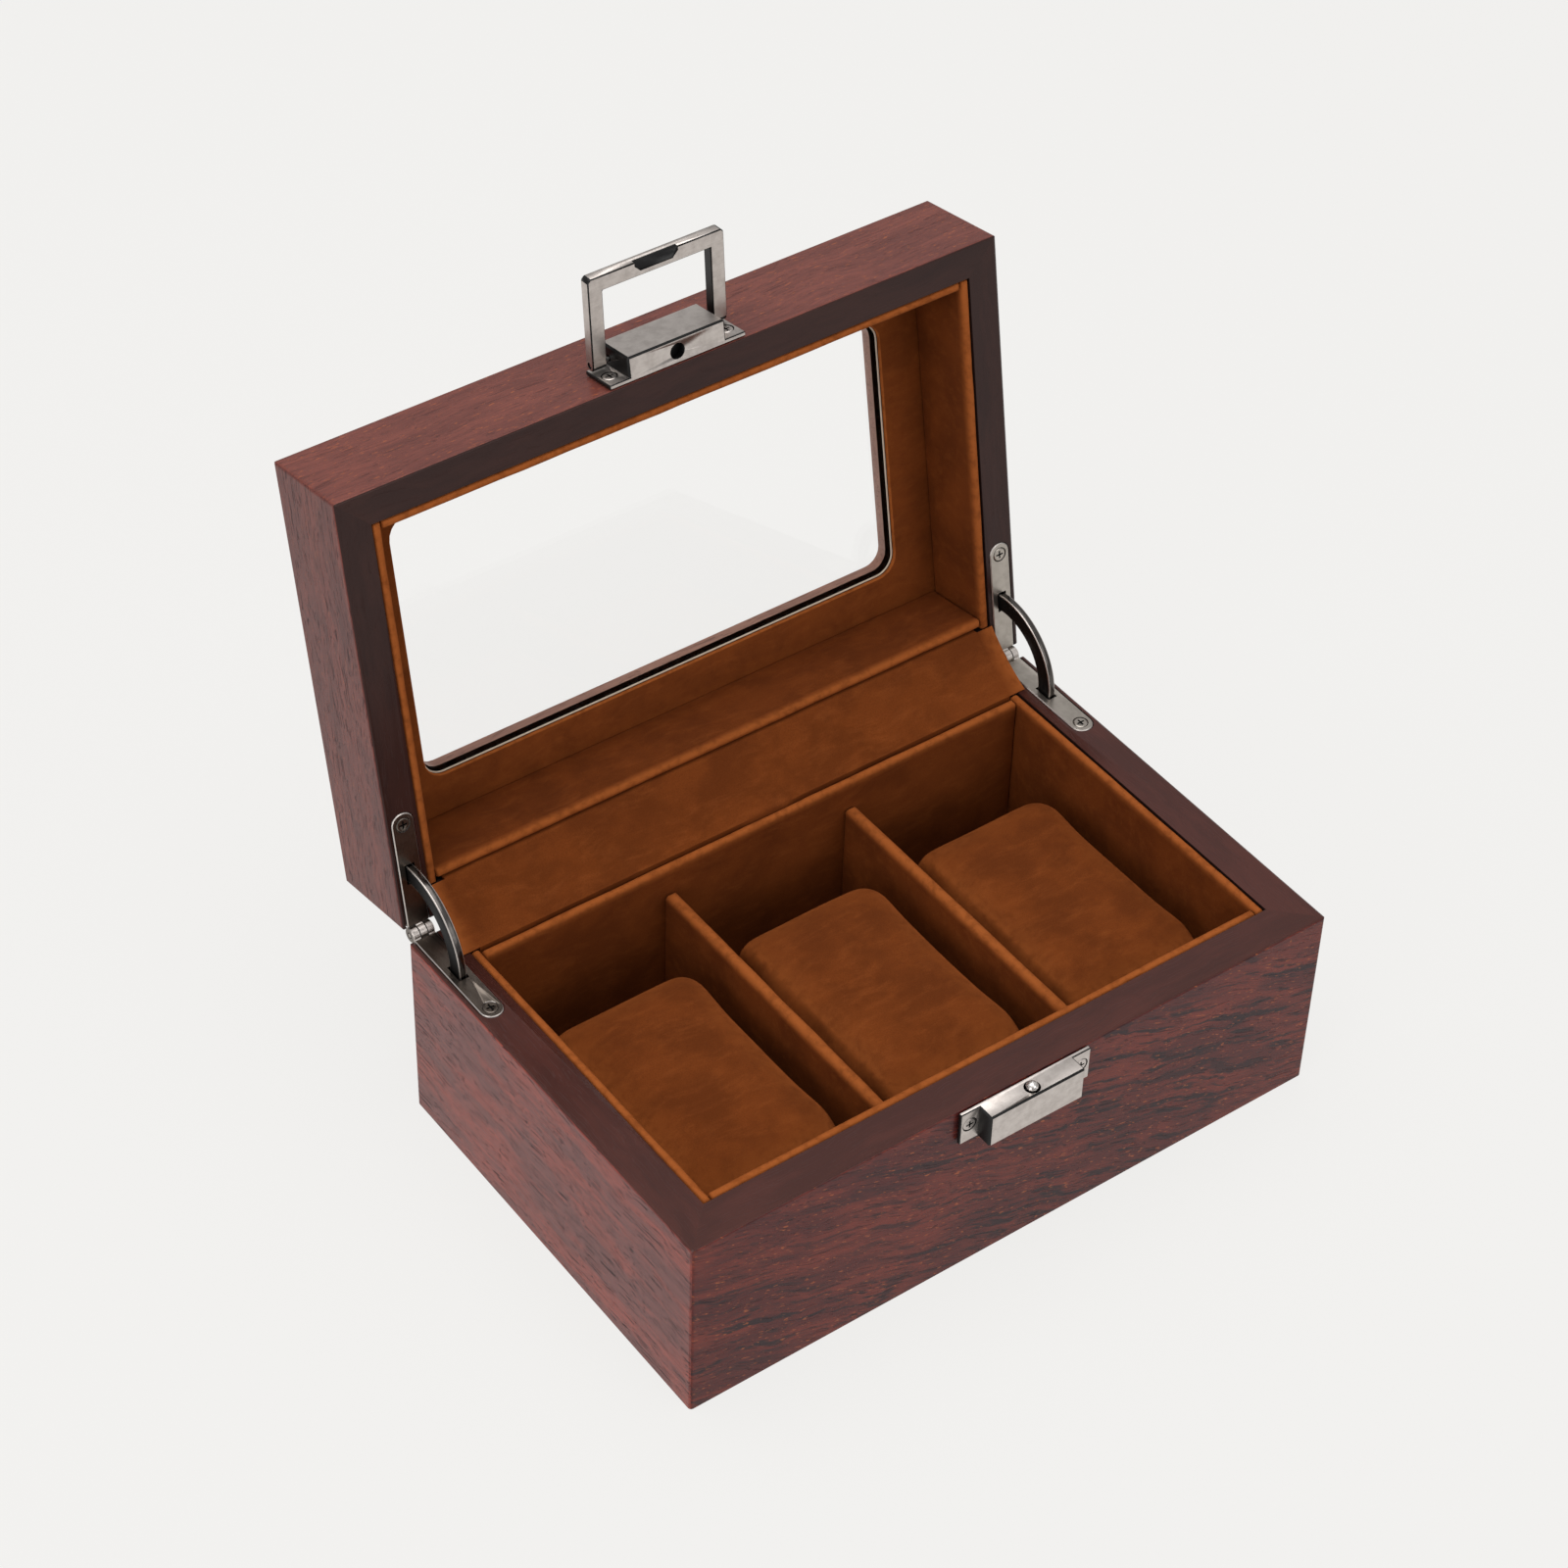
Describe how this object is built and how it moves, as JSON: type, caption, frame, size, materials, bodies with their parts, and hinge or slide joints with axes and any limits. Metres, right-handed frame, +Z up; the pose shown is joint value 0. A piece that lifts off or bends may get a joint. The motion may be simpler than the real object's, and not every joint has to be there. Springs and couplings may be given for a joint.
{
  "type": "watch box",
  "caption": "Low wooden watch box with a hinged window lid, suede bays with lift-out cushions, and a swing-bail clasp.",
  "frame": {"origin": "centre of the box's underside, in the plane of the surface it stands on", "axes": "+Z up, +X along the width to the right, +Y from the clasp side to the hinge side"},
  "size_m": [0.2, 0.1852, 0.2123],
  "materials": {
    "veneer": "dark red-brown open-pored veneer under satin lacquer, rims smooth dark plum-brown",
    "suede": "rust brown short-napped suede cloth over card or foam",
    "felt": "black felt",
    "glass": "clear float glass",
    "nickel": "finely brushed nickel plate with bright edges",
    "gunmetal": "dark nickel plate, polished"
  },
  "bodies": {
    "base": {"base_front_board": "veneer", "base_front_lining": "suede", "base_leaf_left": "gunmetal", "base_leaf_right": "gunmetal", "base_leaf_screw_left": "gunmetal", "base_leaf_screw_right": "gunmetal", "base_left_board": "veneer", "base_left_lining": "suede", "base_rear_board": "veneer", "base_rear_lining": "suede", "base_right_board": "veneer", "base_right_lining": "suede", "bottom_panel": "veneer", "catch_ball": "nickel", "catch_plate": "nickel", "catch_screw_left": "nickel", "catch_screw_right": "nickel", "divider_left": "suede", "divider_right": "suede", "floor_lining": "suede", "hinge_cover": "suede", "hinge_pin_left": "gunmetal", "hinge_pin_right": "gunmetal", "underside_felt": "felt"},
    "bail": {"bail": "nickel", "bail_pin_left": "nickel", "bail_pin_right": "nickel"},
    "lid": {"clasp_plate": "nickel", "clasp_screw_left": "nickel", "clasp_screw_right": "nickel", "glass_retainer": "suede", "lid_front_board": "veneer", "lid_front_lining": "suede", "lid_leaf_left": "gunmetal", "lid_leaf_right": "gunmetal", "lid_leaf_screw_left": "gunmetal", "lid_leaf_screw_right": "gunmetal", "lid_left_board": "veneer", "lid_left_lining": "suede", "lid_rear_board": "veneer", "lid_rear_lining": "suede", "lid_right_board": "veneer", "lid_right_lining": "suede", "lid_top_frame": "veneer", "window_glass": "glass"},
    "cushion_centre": {"cushion_centre": "suede"},
    "cushion_left": {"cushion_left": "suede"},
    "cushion_right": {"cushion_right": "suede"},
    "stay_left": {"stay_left": "gunmetal"},
    "stay_right": {"stay_right": "gunmetal"}
  },
  "joints": [
    {"name": "lid_hinge", "type": "hinge", "parent": "base", "child": "lid", "pos_m": [0, 0.065, 0.0593], "axis": [1, 0, 0], "range_deg": [0, 100], "deforming": ["hinge_cover"]},
    {"name": "stay_left_swing", "type": "hinge", "parent": "base", "child": "stay_left", "pos_m": [-0.0953, 0.065, 0.0593], "axis": [1, 0, 0], "range_deg": [0, 50]},
    {"name": "stay_right_swing", "type": "hinge", "parent": "base", "child": "stay_right", "pos_m": [0.0953, 0.065, 0.0593], "axis": [1, 0, 0], "range_deg": [0, 50]},
    {"name": "bail_pivot", "type": "hinge", "parent": "lid", "child": "bail", "pos_m": [0, 0.09701, 0.18729], "axis": [1, 0, 0], "range_deg": [-90, 85]},
    {"name": "cushion_left_lift", "type": "slide", "parent": "base", "child": "cushion_left", "axis": [0, 0, -1], "range_m": [-0.08, 0]},
    {"name": "cushion_centre_lift", "type": "slide", "parent": "base", "child": "cushion_centre", "axis": [0, 0, -1], "range_m": [-0.08, 0]},
    {"name": "cushion_right_lift", "type": "slide", "parent": "base", "child": "cushion_right", "axis": [0, 0, -1], "range_m": [-0.08, 0]}
  ],
  "couplings": [
    {"joint": "stay_left_swing", "follows": "lid_hinge", "ratio": 0.5},
    {"joint": "stay_right_swing", "follows": "lid_hinge", "ratio": 0.5}
  ]
}
